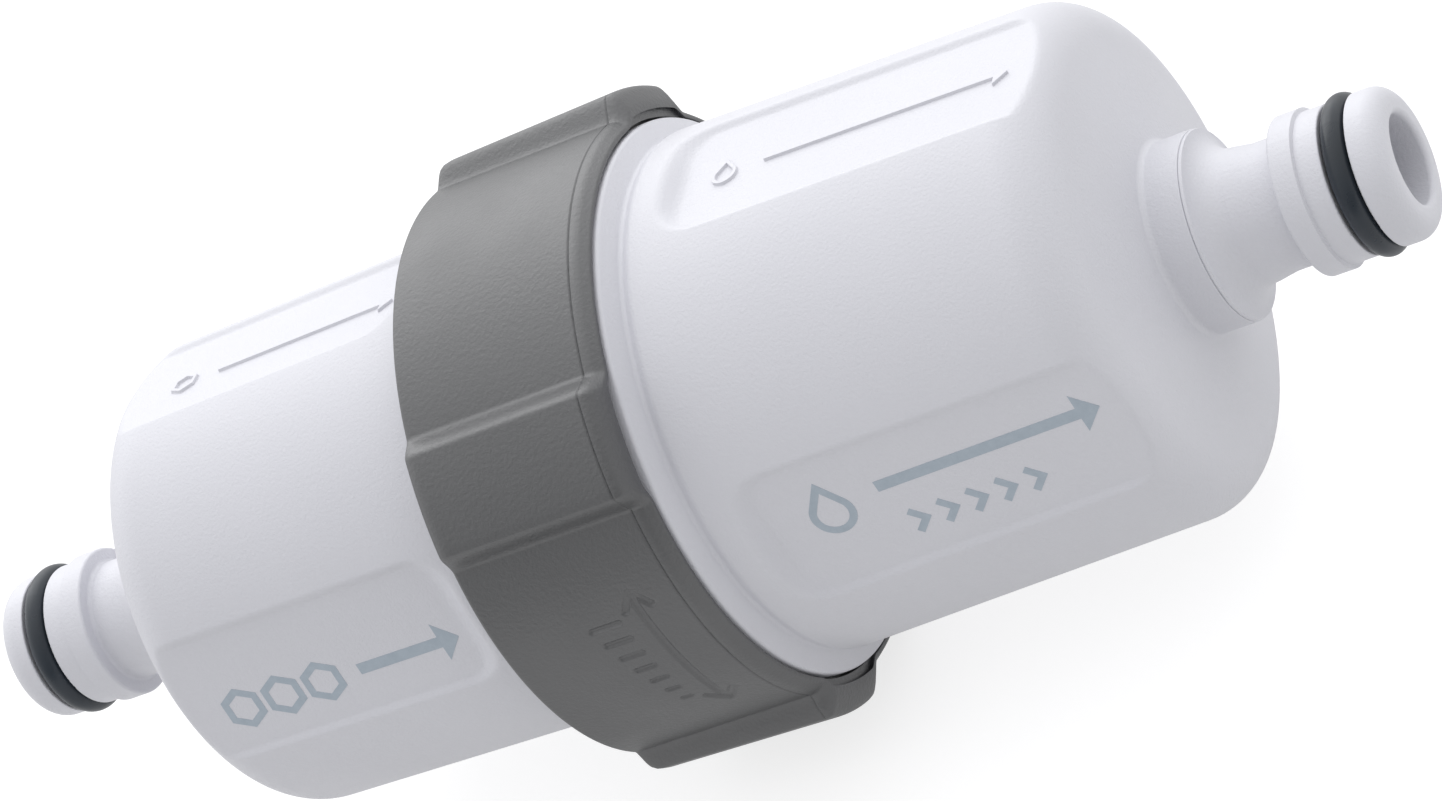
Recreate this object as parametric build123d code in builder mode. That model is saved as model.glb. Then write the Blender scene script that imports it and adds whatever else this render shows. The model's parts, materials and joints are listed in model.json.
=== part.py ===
"""Inline water filter for a caravan's fresh-water hose.

Two cup-shaped housings are drawn together by a four-lobed union nut. Water enters the inlet half,
passes through an activated-carbon cartridge, then through a hollow-fibre membrane module in the
outlet half. Each end has a quick-connect nipple for a standard click-on hose coupling.

Millimetres. +X is the flow direction from inlet to outlet, and +Z is up as the filter lies on a
table between two of the nut's lobes. The origin is on the flow axis, midway between the tips.
"""

from build123d import *
from math import cos, radians, sin
import os

# ---------------------------------------------------------------- driving dimensions

# Quick-connect nipple, the same at both ends; x is measured from the filter's middle
TIP_X = 82.5
NOSE_R = 7.8
TIP_ROUNDING = 2.0
BORE_ENTRY_ROUNDING = 0.6
O_RING_GROOVE_X = (76.15, 79.0)
O_RING_GROOVE_R = 5.8
LAND_R = 7.75
COLLAR_X = (70.95, 73.5)
COLLAR_R = 8.2
COLLAR_STEP = 0.15
NECK_R = 6.55
NECK_CURVE_END_R = 6.9
NECK_CURVE_START_X = 62.7
NECK_TAPER_LENGTH = 2.2
SEAM_BEVEL = 0.15
NECK_RUN_ROUNDING = 3.0
NECK_COLLAR_FILLET = 0.4
COLLAR_ROUNDING = 0.3
GROOVE_EDGE_ROUNDING = 0.15
GROOVE_ROOT_ROUNDING = 0.2
WATER_BORE_R = 4.6
HOUSING_PORT_R = 4.2
NIPPLE_SPIGOT_R = 7.6
NIPPLE_O_RING_SECTION = 2.5

# Housing ends
BOSS_R = 9.9
BOSS_END_X = 62.3
BOSS_START_X = 58.2
SHOULDER_X = 55.75
SHOULDER_ROUNDING = 5.8
BOSS_FILLET = 0.5
BOSS_RIM_ROUNDING = 0.3
SPIGOT_SOCKET_X = 57.0

# Housing walls: outer radius at the nut and at the shoulder
OUTLET_WALL_R = (27.65, 26.55)
INLET_WALL_R = (26.25, 25.35)
OUTLET_CAVITY_R = 23.2
INLET_CAVITY_R = 21.6
CAVITY_ROUNDING = 3.0
CUT_OVERRUN = 1.0

# Four flat pads round each housing
PAD_COUNT = 4
PAD_HALF_ANGLE = 18.0
PAD_EDGE_DEPTH = 0.35
PAD_END_SLOPE = 2.3
PAD_EDGE_ROUNDING = 1.2
PAD_CUTTER_MARGIN = 4.0
OUTLET_PAD_START_X = 12.6
INLET_PAD_START_X = -17.6
OUTLET_PAD_CLOCK = -11.3
INLET_PAD_CLOCK = -18.3

# Union nut
NUT_X = (-14.55, 8.45)
NUT_VALLEY_R = 31.15
LOBE_R = (33.2, 33.7)
LOBE_COUNT = 4
LOBE_TOP_HALF_ANGLE = 9.25
LOBE_FOOT_HALF_ANGLE = 12.75
LOBE_EDGE_ROUNDING = 1.1
LOBE_BACK_ROUNDING = 1.5
LOBE_FRONT_LENGTH = 1.6
LOBE_FRONT_ROUNDING = 1.8
NUT_RIM_ROUNDING = 0.7
NUT_LIP_X = -12.05
NUT_LIP_R = 26.6
NUT_MOUTH_X = 6.4
NUT_MOUTH_R = 29.86

# Trapezoidal single-start thread between the nut and the outlet housing's skirt
THREAD_LEAD = 4.0
THREAD_DEPTH = 1.1
THREAD_BASE = 2.4
THREAD_CREST = 1.3
SKIRT_CORE_R = 27.8
NUT_THREAD_ROOT_R = 29.3
THREAD_X = (-6.7, 2.9)
THREAD_ROOT_OVERLAP = 0.3
THREAD_END_X = -8.1

# Joint between the halves
SKIRT_RIM_X = -7.8
SKIRT_BORE_R = 25.05
SKIRT_STEP_X = 5.6
STOP_RING_X = 6.9
STOP_RING_R = 29.56
STOP_RING_ROUNDING = (0.3, 0.4)
STOP_FACE_DRAFT = 0.2
WALL_ROOT_ROUNDING = 1.5
RIM_ROUNDING = 0.4
FLANGE_X = (-11.95, -8.0)
FLANGE_R = 27.9
SPIGOT_R = 24.5
SPIGOT_END_X = 3.9
SPIGOT_LEAD_ROUNDING = 0.5
HOUSING_SEAL_GROOVE_X = (-2.6, -0.3)
HOUSING_SEAL_GROOVE_R = 22.9
HOUSING_SEAL_SECTION = 1.85

# Cavity ends
INLET_CAVITY_END_X = -52.5
OUTLET_CAVITY_END_X = 52.0
STRAINER_POCKET_X = -55.0
STRAINER_POCKET_R = 7.0
STRAINER_R = 6.9
STRAINER_THICKNESS = 1.4
STRAINER_HOLE_R = 0.6
STRAINER_RING_STEP = 1.8
HOLE_RINGS = (1, 2, 3)
HOLES_PER_RING = 6
NECK_SEAT_CLEARANCE = 0.3
NECK_SEAT_END_X = 56.2

# Activated-carbon cartridge
BLOCK_X = (-44.5, -8.0)
BLOCK_R = 19.2
BLOCK_BORE_R = 6.1
FLEECE_THICKNESS = 0.8
CORE_TUBE_WALL = 1.1
CORE_HOLE_R = 1.2
CAP_R = 20.8
CAP_THICKNESS = 2.0
CAP_LIP = 0.8
CAP_LIP_LENGTH = 3.0
CAP_ROUNDING = 0.6
CAP_RIB_LENGTH = 3.4
CAP_RIB_COUNT = 4
CAP_RIB_PITCH_R = 13.0
CAP_RIB_WIDTH = 8.0
CAP_RIB_THICKNESS = 1.6
CARBON_NECK_R = 6.9
CARBON_NECK_BORE_R = 4.2
CARBON_NECK_END_X = 1.6
CARBON_GROOVE_X = (-1.7, 0.2)
CARBON_GROOVE_R = 5.55
CORE_HOLE_ROWS = 8

# End plate that holds the carbon cartridge in the inlet housing
PLATE_INNER_X = -1.2
PLATE_GROOVE_X = (0.6, 2.5)
PLATE_GROOVE_DEPTH = 1.4
PLATE_HUB_R = 9.5
PLATE_SKIRT_WALL = 2.4
PLATE_WEB_X = 2.5
PLATE_HUB_WEB_X = 1.7
PLATE_RIM_THICKNESS = 1.3
PLATE_PORT_R = 3.6
PLATE_SEAL_SECTION = 1.38

# Hollow-fibre membrane module
CASING_X = (6.4, 44.5)
CASING_R = 22.5
CASING_WALL = 1.3
GRID_THICKNESS = 1.8
GRID_RING_STEP = 5.4
GRID_HOLE_R = 1.5
FIBRE_BUNDLE_R = 20.4
FIBRE_START_X = 10.5
FIBRE_LOOP_ROUNDING = 6.0
POTTING_X = (36.0, 43.0)
MODULE_CAP_EDGE_THICKNESS = 2.2
MODULE_CAP_CROWN_THICKNESS = 4.0
MODULE_CAP_CROWN_STEP = 2.0
MODULE_CAP_HUB_LENGTH = 1.0
MODULE_CAP_ROUNDING = 1.0
MODULE_NECK_R = 6.55
MODULE_NECK_BORE_R = 3.8
MODULE_NECK_END_X = 55.6
MODULE_GROOVE_X = (52.5, 54.4)
MODULE_GROOVE_R = 5.15
NECK_SEAL_SECTION = 1.6

os.makedirs("parts", exist_ok=True)


# ---------------------------------------------------------------- shared steps


def turn(*corners, mode=Mode.ADD):
    """Sweep an outline round the flow axis. Each corner is (x, radius) or (x, radius, rounding)."""
    points = [corner[:2] for corner in corners]
    roundings = [corner[2] if len(corner) == 3 else 0 for corner in corners]
    with BuildSketch(Plane.XZ) as outline:
        with BuildLine():
            FilletPolyline(*points, radius=roundings, close=True)
        make_face()
    revolve(outline.sketch, axis=Axis.X, mode=mode)


def tube(x_start, x_end, outer_r, inner_r):
    """A plain ring on the flow axis."""
    turn((x_start, inner_r), (x_start, outer_r), (x_end, outer_r), (x_end, inner_r))


def o_ring(x_centre, ring_r, section):
    """A ring of round section on the flow axis."""
    with BuildSketch(Plane.XZ) as outline:
        with Locations((x_centre, ring_r)):
            Circle(section / 2)
    revolve(outline.sketch, axis=Axis.X)


def cut_pads(start_x, side, clock, wall_r):
    """Press the flat pads into a housing; side is +1 for the outlet housing and -1 for the inlet."""
    end_x = side * BOSS_END_X
    outside_r = wall_r[0] + PAD_CUTTER_MARGIN
    half_width = wall_r[0] * sin(radians(PAD_HALF_ANGLE))
    floor_r = [r * cos(radians(PAD_HALF_ANGLE)) - PAD_EDGE_DEPTH for r in wall_r]
    edge_slope = PAD_END_SLOPE * (outside_r - floor_r[0]) / (wall_r[0] - floor_r[0])
    with BuildPart(mode=Mode.PRIVATE) as pad:
        with BuildSketch(Plane.XZ):
            with BuildLine():
                Polyline(
                    (start_x + side * (PAD_END_SLOPE - edge_slope), outside_r),
                    (start_x + side * PAD_END_SLOPE, floor_r[0]),
                    (end_x, floor_r[1]),
                    (end_x, outside_r),
                    close=True,
                )
            make_face()
        extrude(amount=half_width, both=True)
        fillet(pad.edges().filter_by(Axis.Z, reverse=True).sort_by(Axis.Z)[:3], radius=PAD_EDGE_ROUNDING)
    for number in range(PAD_COUNT):
        turned = pad.part.rotate(Axis.X, clock + number * 360 / PAD_COUNT)
        add(turned, mode=Mode.SUBTRACT)


def thread_ridge(root_r, depth, x_first):
    """One helical ridge; a positive depth stands outwards and a negative one inwards."""
    overlap = THREAD_ROOT_OVERLAP if depth > 0 else -THREAD_ROOT_OVERLAP
    base_extra = THREAD_ROOT_OVERLAP * (THREAD_BASE - THREAD_CREST) / THREAD_DEPTH
    half_base = (THREAD_BASE + base_extra) / 2
    length = THREAD_X[1] - THREAD_X[0] - THREAD_BASE
    with BuildLine() as path:
        Helix(THREAD_LEAD, length, root_r, center=(x_first, 0, 0), direction=(1, 0, 0))
    start = path.line @ 0
    outward = Vector(0, start.Y, start.Z).normalized()
    across = Plane(origin=start, x_dir=(1, 0, 0), z_dir=Vector(1, 0, 0).cross(outward))
    with BuildSketch(across) as section:
        with BuildLine():
            Polyline(
                (-half_base, -overlap),
                (-THREAD_CREST / 2, depth),
                (THREAD_CREST / 2, depth),
                (half_base, -overlap),
                close=True,
            )
        make_face()
    sweep(section.sketch, path=path.line, is_frenet=True)


def save(piece, name):
    """Label a finished piece and write it to its own file."""
    piece.part.label = name
    export_step(piece.part, f"parts/{name}.step")


# ---------------------------------------------------------------- outlet half

with BuildPart() as outlet_housing:
    turn(
        (SKIRT_RIM_X, 0),
        (SKIRT_RIM_X, SKIRT_CORE_R, RIM_ROUNDING),
        (STOP_RING_X, SKIRT_CORE_R),
        (STOP_RING_X, STOP_RING_R, STOP_RING_ROUNDING[0]),
        (NUT_X[1], STOP_RING_R, STOP_RING_ROUNDING[1]),
        (NUT_X[1] + STOP_FACE_DRAFT, OUTLET_WALL_R[0], WALL_ROOT_ROUNDING),
        (SHOULDER_X, OUTLET_WALL_R[1], SHOULDER_ROUNDING),
        (BOSS_START_X, BOSS_R, BOSS_FILLET),
        (BOSS_END_X, BOSS_R, BOSS_RIM_ROUNDING),
        (BOSS_END_X, 0),
    )
    cut_pads(OUTLET_PAD_START_X, 1, OUTLET_PAD_CLOCK, OUTLET_WALL_R)
    turn(
        (SKIRT_RIM_X - CUT_OVERRUN, 0),
        (SKIRT_RIM_X - CUT_OVERRUN, SKIRT_BORE_R),
        (SKIRT_STEP_X, SKIRT_BORE_R),
        (SKIRT_STEP_X, OUTLET_CAVITY_R),
        (OUTLET_CAVITY_END_X, OUTLET_CAVITY_R, CAVITY_ROUNDING),
        (OUTLET_CAVITY_END_X, MODULE_NECK_R + NECK_SEAT_CLEARANCE),
        (NECK_SEAT_END_X, MODULE_NECK_R + NECK_SEAT_CLEARANCE),
        (NECK_SEAT_END_X, HOUSING_PORT_R),
        (SPIGOT_SOCKET_X, HOUSING_PORT_R),
        (SPIGOT_SOCKET_X, NIPPLE_SPIGOT_R),
        (BOSS_END_X + CUT_OVERRUN, NIPPLE_SPIGOT_R),
        (BOSS_END_X + CUT_OVERRUN, 0),
        mode=Mode.SUBTRACT,
    )
    thread_ridge(SKIRT_CORE_R, THREAD_DEPTH, THREAD_X[0] + THREAD_BASE / 2)
save(outlet_housing, "outlet_housing")

with BuildPart() as membrane_casing:
    tube(CASING_X[0], CASING_X[1], CASING_R, CASING_R - CASING_WALL)
save(membrane_casing, "membrane_casing")

with BuildPart() as membrane_inlet_grid:
    with BuildSketch(Plane.YZ.offset(CASING_X[0])):
        Circle(CASING_R - CASING_WALL)
        for ring_number in HOLE_RINGS:
            with PolarLocations(ring_number * GRID_RING_STEP, ring_number * HOLES_PER_RING):
                Circle(GRID_HOLE_R, mode=Mode.SUBTRACT)
    extrude(amount=GRID_THICKNESS)
save(membrane_inlet_grid, "membrane_inlet_grid")

with BuildPart() as membrane_fibres:
    turn(
        (FIBRE_START_X, 0),
        (FIBRE_START_X, FIBRE_BUNDLE_R, FIBRE_LOOP_ROUNDING),
        (POTTING_X[0], FIBRE_BUNDLE_R),
        (POTTING_X[0], 0),
    )
save(membrane_fibres, "membrane_fibres")

with BuildPart() as membrane_potting:
    turn(
        (POTTING_X[0], 0),
        (POTTING_X[0], CASING_R - CASING_WALL),
        (POTTING_X[1], CASING_R - CASING_WALL),
        (POTTING_X[1], 0),
    )
save(membrane_potting, "membrane_potting")

with BuildPart() as membrane_outlet_cap:
    cap_edge_x = CASING_X[1] + MODULE_CAP_EDGE_THICKNESS
    cap_crown_x = CASING_X[1] + MODULE_CAP_CROWN_THICKNESS
    turn(
        (CASING_X[1], MODULE_NECK_R),
        (CASING_X[1], CASING_R),
        (cap_edge_x, CASING_R, MODULE_CAP_ROUNDING),
        (cap_crown_x, MODULE_NECK_R + MODULE_CAP_CROWN_STEP, MODULE_CAP_ROUNDING),
        (cap_crown_x + MODULE_CAP_HUB_LENGTH, MODULE_NECK_R),
        (MODULE_GROOVE_X[0], MODULE_NECK_R),
        (MODULE_GROOVE_X[0], MODULE_GROOVE_R),
        (MODULE_GROOVE_X[1], MODULE_GROOVE_R),
        (MODULE_GROOVE_X[1], MODULE_NECK_R),
        (MODULE_NECK_END_X, MODULE_NECK_R, RIM_ROUNDING),
        (MODULE_NECK_END_X, MODULE_NECK_BORE_R),
        (cap_crown_x, MODULE_NECK_BORE_R),
    )
save(membrane_outlet_cap, "membrane_outlet_cap")

with BuildPart() as membrane_neck_o_ring:
    o_ring(sum(MODULE_GROOVE_X) / 2, MODULE_GROOVE_R + NECK_SEAL_SECTION / 2, NECK_SEAL_SECTION)
save(membrane_neck_o_ring, "membrane_neck_o_ring")


# ---------------------------------------------------------------- inlet half

with BuildPart() as inlet_housing:
    turn(
        (SPIGOT_END_X, 0),
        (SPIGOT_END_X, SPIGOT_R, SPIGOT_LEAD_ROUNDING),
        (HOUSING_SEAL_GROOVE_X[1], SPIGOT_R),
        (HOUSING_SEAL_GROOVE_X[1], HOUSING_SEAL_GROOVE_R),
        (HOUSING_SEAL_GROOVE_X[0], HOUSING_SEAL_GROOVE_R),
        (HOUSING_SEAL_GROOVE_X[0], SPIGOT_R),
        (FLANGE_X[1], SPIGOT_R),
        (FLANGE_X[1], FLANGE_R, RIM_ROUNDING),
        (FLANGE_X[0], FLANGE_R, RIM_ROUNDING),
        (FLANGE_X[0], INLET_WALL_R[0]),
        (-SHOULDER_X, INLET_WALL_R[1], SHOULDER_ROUNDING),
        (-BOSS_START_X, BOSS_R, BOSS_FILLET),
        (-BOSS_END_X, BOSS_R, BOSS_RIM_ROUNDING),
        (-BOSS_END_X, 0),
    )
    cut_pads(INLET_PAD_START_X, -1, INLET_PAD_CLOCK, INLET_WALL_R)
    turn(
        (SPIGOT_END_X + CUT_OVERRUN, 0),
        (SPIGOT_END_X + CUT_OVERRUN, INLET_CAVITY_R),
        (INLET_CAVITY_END_X, INLET_CAVITY_R, CAVITY_ROUNDING),
        (INLET_CAVITY_END_X, STRAINER_POCKET_R),
        (STRAINER_POCKET_X, STRAINER_POCKET_R),
        (STRAINER_POCKET_X, HOUSING_PORT_R),
        (-SPIGOT_SOCKET_X, HOUSING_PORT_R),
        (-SPIGOT_SOCKET_X, NIPPLE_SPIGOT_R),
        (-BOSS_END_X - CUT_OVERRUN, NIPPLE_SPIGOT_R),
        (-BOSS_END_X - CUT_OVERRUN, 0),
        mode=Mode.SUBTRACT,
    )
save(inlet_housing, "inlet_housing")

with BuildPart() as housing_o_ring:
    o_ring(sum(HOUSING_SEAL_GROOVE_X) / 2, HOUSING_SEAL_GROOVE_R + HOUSING_SEAL_SECTION / 2,
           HOUSING_SEAL_SECTION)
save(housing_o_ring, "housing_o_ring")

with BuildPart() as inlet_strainer:
    with BuildSketch(Plane.YZ.offset(STRAINER_POCKET_X)):
        Circle(STRAINER_R)
        for ring_number in HOLE_RINGS:
            with PolarLocations(ring_number * STRAINER_RING_STEP, ring_number * HOLES_PER_RING):
                Circle(STRAINER_HOLE_R, mode=Mode.SUBTRACT)
    extrude(amount=STRAINER_THICKNESS)
save(inlet_strainer, "inlet_strainer")

with BuildPart() as carbon_closed_cap:
    turn(
        (BLOCK_X[0], 0),
        (BLOCK_X[0], CAP_R - CAP_LIP),
        (BLOCK_X[0] + CAP_LIP_LENGTH, CAP_R - CAP_LIP),
        (BLOCK_X[0] + CAP_LIP_LENGTH, CAP_R),
        (BLOCK_X[0] - CAP_THICKNESS, CAP_R, CAP_ROUNDING),
        (BLOCK_X[0] - CAP_THICKNESS, 0),
    )
    with BuildSketch(Plane.YZ.offset(BLOCK_X[0] - CAP_THICKNESS)):
        with PolarLocations(CAP_RIB_PITCH_R, CAP_RIB_COUNT):
            Rectangle(CAP_RIB_WIDTH, CAP_RIB_THICKNESS)
    extrude(amount=-CAP_RIB_LENGTH)
save(carbon_closed_cap, "carbon_closed_cap")

with BuildPart() as carbon_block:
    tube(BLOCK_X[0], BLOCK_X[1], BLOCK_R, BLOCK_BORE_R)
save(carbon_block, "carbon_block")

with BuildPart() as carbon_fleece:
    tube(BLOCK_X[0], BLOCK_X[1], BLOCK_R + FLEECE_THICKNESS, BLOCK_R)
save(carbon_fleece, "carbon_fleece")

with BuildPart() as carbon_core_tube:
    tube(BLOCK_X[0], BLOCK_X[1], BLOCK_BORE_R, BLOCK_BORE_R - CORE_TUBE_WALL)
    row_step = (BLOCK_X[1] - BLOCK_X[0]) / (CORE_HOLE_ROWS + 1)
    for row in range(CORE_HOLE_ROWS):
        row_x = BLOCK_X[0] + (row + 1) * row_step
        for across in (Plane.XY, Plane.XZ):
            with BuildSketch(across) as drilled:
                with Locations((row_x, 0)):
                    Circle(CORE_HOLE_R)
            extrude(drilled.sketch, amount=BLOCK_BORE_R, both=True, mode=Mode.SUBTRACT)
save(carbon_core_tube, "carbon_core_tube")

with BuildPart() as carbon_outlet_cap:
    turn(
        (BLOCK_X[1], CARBON_NECK_BORE_R),
        (BLOCK_X[1], CAP_R - CAP_LIP),
        (BLOCK_X[1] - CAP_LIP_LENGTH, CAP_R - CAP_LIP),
        (BLOCK_X[1] - CAP_LIP_LENGTH, CAP_R),
        (BLOCK_X[1] + CAP_THICKNESS, CAP_R, CAP_ROUNDING),
        (BLOCK_X[1] + CAP_THICKNESS, CARBON_NECK_R),
        (CARBON_GROOVE_X[0], CARBON_NECK_R),
        (CARBON_GROOVE_X[0], CARBON_GROOVE_R),
        (CARBON_GROOVE_X[1], CARBON_GROOVE_R),
        (CARBON_GROOVE_X[1], CARBON_NECK_R),
        (CARBON_NECK_END_X, CARBON_NECK_R, RIM_ROUNDING),
        (CARBON_NECK_END_X, CARBON_NECK_BORE_R),
    )
save(carbon_outlet_cap, "carbon_outlet_cap")

with BuildPart() as carbon_neck_o_ring:
    o_ring(sum(CARBON_GROOVE_X) / 2, CARBON_GROOVE_R + NECK_SEAL_SECTION / 2, NECK_SEAL_SECTION)
save(carbon_neck_o_ring, "carbon_neck_o_ring")

with BuildPart() as inlet_end_plate:
    hub_bore_r = CARBON_NECK_R + NECK_SEAT_CLEARANCE
    skirt_r = INLET_CAVITY_R - PLATE_SKIRT_WALL
    groove_r = INLET_CAVITY_R - PLATE_GROOVE_DEPTH
    turn(
        (PLATE_INNER_X, hub_bore_r),
        (PLATE_INNER_X, PLATE_HUB_R),
        (PLATE_WEB_X, PLATE_HUB_R),
        (PLATE_WEB_X, skirt_r),
        (PLATE_INNER_X, skirt_r),
        (PLATE_INNER_X, INLET_CAVITY_R),
        (PLATE_GROOVE_X[0], INLET_CAVITY_R),
        (PLATE_GROOVE_X[0], groove_r),
        (PLATE_GROOVE_X[1], groove_r),
        (PLATE_GROOVE_X[1], INLET_CAVITY_R),
        (SPIGOT_END_X, INLET_CAVITY_R),
        (SPIGOT_END_X, SPIGOT_R),
        (SPIGOT_END_X + PLATE_RIM_THICKNESS, SPIGOT_R, RIM_ROUNDING),
        (SPIGOT_END_X + PLATE_RIM_THICKNESS, PLATE_PORT_R),
        (PLATE_HUB_WEB_X, PLATE_PORT_R),
        (PLATE_HUB_WEB_X, hub_bore_r),
    )
save(inlet_end_plate, "inlet_end_plate")

with BuildPart() as end_plate_o_ring:
    o_ring(sum(PLATE_GROOVE_X) / 2, INLET_CAVITY_R - PLATE_GROOVE_DEPTH / 2, PLATE_SEAL_SECTION)
save(end_plate_o_ring, "end_plate_o_ring")


# ---------------------------------------------------------------- union nut

with BuildPart() as union_nut:
    with BuildSketch(Plane.YZ.offset(NUT_X[0])) as lobed:
        with BuildLine():
            for lobe in range(LOBE_COUNT):
                step = 360 / LOBE_COUNT
                middle = step / 2 + lobe * step
                foot_start = Vector(NUT_VALLEY_R, 0).rotate(Axis.Z, middle - LOBE_FOOT_HALF_ANGLE)
                top_start = Vector(LOBE_R[1], 0).rotate(Axis.Z, middle - LOBE_TOP_HALF_ANGLE)
                top_middle = Vector(LOBE_R[1], 0).rotate(Axis.Z, middle)
                top_end = Vector(LOBE_R[1], 0).rotate(Axis.Z, middle + LOBE_TOP_HALF_ANGLE)
                foot_end = Vector(NUT_VALLEY_R, 0).rotate(Axis.Z, middle + LOBE_FOOT_HALF_ANGLE)
                valley = Vector(NUT_VALLEY_R, 0).rotate(Axis.Z, middle + step / 2)
                next_foot = foot_start.rotate(Axis.Z, step)
                Line(foot_start, top_start)
                ThreePointArc(top_start, top_middle, top_end)
                Line(top_end, foot_end)
                ThreePointArc(foot_end, valley, next_foot)
        make_face()
        fillet(lobed.vertices(), radius=LOBE_EDGE_ROUNDING)
    extrude(amount=NUT_X[1] - NUT_X[0])
    turn(
        (NUT_X[0], 0),
        (NUT_X[0], LOBE_R[0], LOBE_BACK_ROUNDING),
        (NUT_X[1] - LOBE_FRONT_LENGTH, LOBE_R[1], LOBE_FRONT_ROUNDING),
        (NUT_X[1], NUT_VALLEY_R, NUT_RIM_ROUNDING),
        (NUT_X[1], 0),
        mode=Mode.INTERSECT,
    )
    turn(
        (NUT_X[0] - CUT_OVERRUN, 0),
        (NUT_X[0] - CUT_OVERRUN, NUT_LIP_R),
        (NUT_LIP_X, NUT_LIP_R),
        (NUT_LIP_X, NUT_THREAD_ROOT_R - THREAD_DEPTH),
        (THREAD_END_X, NUT_THREAD_ROOT_R - THREAD_DEPTH),
        (THREAD_END_X, NUT_THREAD_ROOT_R),
        (NUT_MOUTH_X, NUT_THREAD_ROOT_R),
        (NUT_MOUTH_X, NUT_MOUTH_R),
        (NUT_X[1] + CUT_OVERRUN, NUT_MOUTH_R),
        (NUT_X[1] + CUT_OVERRUN, 0),
        mode=Mode.SUBTRACT,
    )
    thread_ridge(NUT_THREAD_ROOT_R, -THREAD_DEPTH, THREAD_X[0] + (THREAD_BASE + THREAD_LEAD) / 2)
save(union_nut, "union_nut")


# ---------------------------------------------------------------- nipples


def nipple(side):
    """A nipple's body: side is +1 at the outlet and -1 at the inlet."""
    with BuildSketch(Plane.XZ) as outline:
        with BuildLine():
            curve_r = BOSS_R - SEAM_BEVEL - NECK_CURVE_END_R
            curve_start = (side * NECK_CURVE_START_X, BOSS_R - SEAM_BEVEL)
            curve_end = (side * (NECK_CURVE_START_X + curve_r), NECK_CURVE_END_R)
            FilletPolyline(
                curve_end,
                (side * (NECK_CURVE_START_X + curve_r + NECK_TAPER_LENGTH), NECK_R),
                (side * COLLAR_X[0], NECK_R),
                (side * COLLAR_X[0], COLLAR_R),
                (side * COLLAR_X[1], COLLAR_R),
                (side * (COLLAR_X[1] + COLLAR_STEP), LAND_R),
                (side * O_RING_GROOVE_X[0], LAND_R),
                (side * O_RING_GROOVE_X[0], O_RING_GROOVE_R),
                (side * O_RING_GROOVE_X[1], O_RING_GROOVE_R),
                (side * O_RING_GROOVE_X[1], NOSE_R),
                (side * TIP_X, NOSE_R),
                (side * TIP_X, WATER_BORE_R),
                (side * SPIGOT_SOCKET_X, WATER_BORE_R),
                (side * SPIGOT_SOCKET_X, NIPPLE_SPIGOT_R),
                (side * BOSS_END_X, NIPPLE_SPIGOT_R),
                (side * BOSS_END_X, BOSS_R),
                curve_start,
                radius=[
                    NECK_RUN_ROUNDING,
                    NECK_COLLAR_FILLET,
                    COLLAR_ROUNDING,
                    0,
                    0,
                    GROOVE_EDGE_ROUNDING,
                    GROOVE_ROOT_ROUNDING,
                    GROOVE_ROOT_ROUNDING,
                    GROOVE_EDGE_ROUNDING,
                    TIP_ROUNDING,
                    BORE_ENTRY_ROUNDING,
                    0,
                    0,
                    0,
                    SEAM_BEVEL,
                ],
            )
            RadiusArc(curve_start, curve_end, -side * curve_r)
        make_face()
    revolve(outline.sketch, axis=Axis.X)


with BuildPart() as outlet_nipple:
    nipple(1)
save(outlet_nipple, "outlet_nipple")

with BuildPart() as inlet_nipple:
    nipple(-1)
save(inlet_nipple, "inlet_nipple")

with BuildPart() as outlet_nipple_o_ring:
    o_ring(sum(O_RING_GROOVE_X) / 2, O_RING_GROOVE_R + NIPPLE_O_RING_SECTION / 2,
           NIPPLE_O_RING_SECTION)
save(outlet_nipple_o_ring, "outlet_nipple_o_ring")

with BuildPart() as inlet_nipple_o_ring:
    o_ring(-sum(O_RING_GROOVE_X) / 2, O_RING_GROOVE_R + NIPPLE_O_RING_SECTION / 2,
           NIPPLE_O_RING_SECTION)
save(inlet_nipple_o_ring, "inlet_nipple_o_ring")
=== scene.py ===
"""Looks for the inline water filter: finished shells, nut, markings, filter media and studio.

The housings, the nut, the membrane's fibres and the carbon's fleece are remade as finer meshes,
in millimetres, in the CAD model's own frame. The other pieces keep their CAD shape and get a
material.
"""

import json
import math

import bmesh
import bpy
import numpy as np
from mathutils import Matrix, Vector


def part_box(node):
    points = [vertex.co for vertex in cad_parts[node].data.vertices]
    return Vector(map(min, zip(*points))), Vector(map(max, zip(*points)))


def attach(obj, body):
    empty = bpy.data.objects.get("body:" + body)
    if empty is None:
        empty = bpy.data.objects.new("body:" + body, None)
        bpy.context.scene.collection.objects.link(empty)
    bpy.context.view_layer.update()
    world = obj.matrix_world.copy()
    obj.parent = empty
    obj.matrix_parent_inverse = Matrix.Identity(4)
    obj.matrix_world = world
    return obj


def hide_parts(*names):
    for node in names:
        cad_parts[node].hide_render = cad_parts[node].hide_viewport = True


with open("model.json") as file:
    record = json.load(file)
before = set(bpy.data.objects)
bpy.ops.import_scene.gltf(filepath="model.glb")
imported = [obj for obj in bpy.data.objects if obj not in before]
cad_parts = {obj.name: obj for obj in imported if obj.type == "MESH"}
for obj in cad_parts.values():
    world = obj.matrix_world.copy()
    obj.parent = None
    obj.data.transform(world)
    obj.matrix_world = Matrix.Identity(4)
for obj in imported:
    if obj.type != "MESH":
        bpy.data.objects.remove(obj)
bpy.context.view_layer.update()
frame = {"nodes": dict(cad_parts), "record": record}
MM = 0.001


# ---------------------------------------------------------------- node materials


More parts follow.
